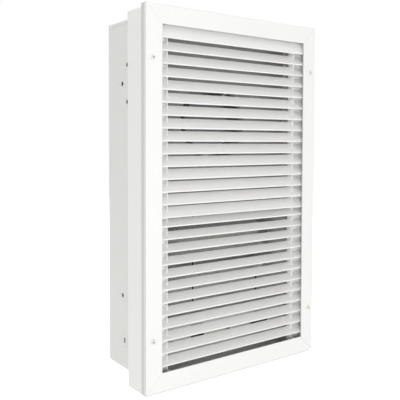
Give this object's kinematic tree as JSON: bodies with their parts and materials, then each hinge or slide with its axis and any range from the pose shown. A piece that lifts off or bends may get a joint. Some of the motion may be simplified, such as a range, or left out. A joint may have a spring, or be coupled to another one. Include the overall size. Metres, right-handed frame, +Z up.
{
  "type": "electric wall heater",
  "caption": "Recessed fan-forced wall heater: mitred white frame with fixed louvres, shallow sleeve, smaller wall box behind, fan, heating rods and controls inside",
  "frame": {"origin": "middle of the wall box's flat back, which rests on the back of the recess", "axes": "+X right seen from the room, +Y into the wall, +Z up; the louvres face -Y"},
  "size_m": [0.346, 0.1424, 0.5755],
  "materials": {
    "white_enamel": "satin",
    "pale_box_paint": "satin",
    "grey_enamel": "satin",
    "motor_steel": "satin",
    "bearing_bronze": "satin",
    "galvanised_steel": "matt",
    "element_steel": "satin",
    "black_plastic": "matt",
    "knob_plastic": "satin",
    "red_plastic": "gloss",
    "rocker_plastic": "gloss",
    "white_plastic": "matt",
    "screw_steel": "satin",
    "lead_insulation": "satin"
  },
  "bodies": {
    "casing": {"blade_end_plates": "white_enamel", "box_back": "pale_box_paint", "box_bottom": "pale_box_paint", "box_left_side": "pale_box_paint", "box_right_side": "pale_box_paint", "box_top": "pale_box_paint", "cable_clamp": "galvanised_steel", "control_panel": "grey_enamel", "cutout_body": "black_plastic", "element_brackets": "galvanised_steel", "fan_deck": "grey_enamel", "frame_bottom_rail": "white_enamel", "frame_corner_keys": "white_enamel", "frame_left_rail": "white_enamel", "frame_right_rail": "white_enamel", "frame_top_rail": "white_enamel", "heating_elements": "element_steel", "lower_blade_01": "white_enamel", "lower_blade_02": "white_enamel", "lower_blade_03": "white_enamel", "lower_blade_04": "white_enamel", "lower_blade_05": "white_enamel", "lower_blade_06": "white_enamel", "lower_blade_07": "white_enamel", "lower_blade_08": "white_enamel", "lower_blade_09": "white_enamel", "lower_blade_10": "white_enamel", "lower_blade_11": "white_enamel", "lower_blade_12": "white_enamel", "motor_bearings": "bearing_bronze", "motor_stator": "motor_steel", "panel_screws": "screw_steel", "sleeve_bottom": "white_enamel", "sleeve_left": "white_enamel", "sleeve_right": "white_enamel", "sleeve_top": "white_enamel", "switch_body": "black_plastic", "terminal_block": "white_plastic", "thermostat_body": "black_plastic", "upper_blade_01": "white_enamel", "upper_blade_02": "white_enamel", "upper_blade_03": "white_enamel", "upper_blade_04": "white_enamel", "upper_blade_05": "white_enamel", "upper_blade_06": "white_enamel", "upper_blade_07": "white_enamel", "upper_blade_08": "white_enamel", "upper_blade_09": "white_enamel", "upper_blade_10": "white_enamel", "upper_blade_11": "white_enamel", "upper_blade_12": "white_enamel", "upper_blade_13": "white_enamel", "upper_blade_14": "white_enamel", "upper_blade_15": "white_enamel", "wiring_leads": "lead_insulation"},
    "rotor": {"motor_rotor": "motor_steel", "fan_wheel": "galvanised_steel"},
    "knob": {"thermostat_knob": "knob_plastic"},
    "button": {"reset_button": "red_plastic"},
    "rocker": {"switch_rocker": "rocker_plastic"}
  },
  "joints": [
    {"name": "fan_spin", "type": "hinge", "parent": "casing", "child": "rotor", "pos_m": [0, -0.052, 0.12], "axis": [0, 1, 0], "continuous": true},
    {"name": "knob_turn", "type": "hinge", "parent": "casing", "child": "knob", "pos_m": [0.096, -0.074, -0.236], "axis": [0, 1, 0], "range_deg": [0, 270]},
    {"name": "reset_press", "type": "slide", "parent": "casing", "child": "button", "axis": [0, 1, 0], "range_m": [0, 0.002], "stiffness_N_per_m": 400, "springref_m": -0.001},
    {"name": "rocker_tilt", "type": "hinge", "parent": "casing", "child": "rocker", "pos_m": [-0.034, -0.071, -0.236], "axis": [1, 0, 0], "range_deg": [-16, 0]}
  ]
}
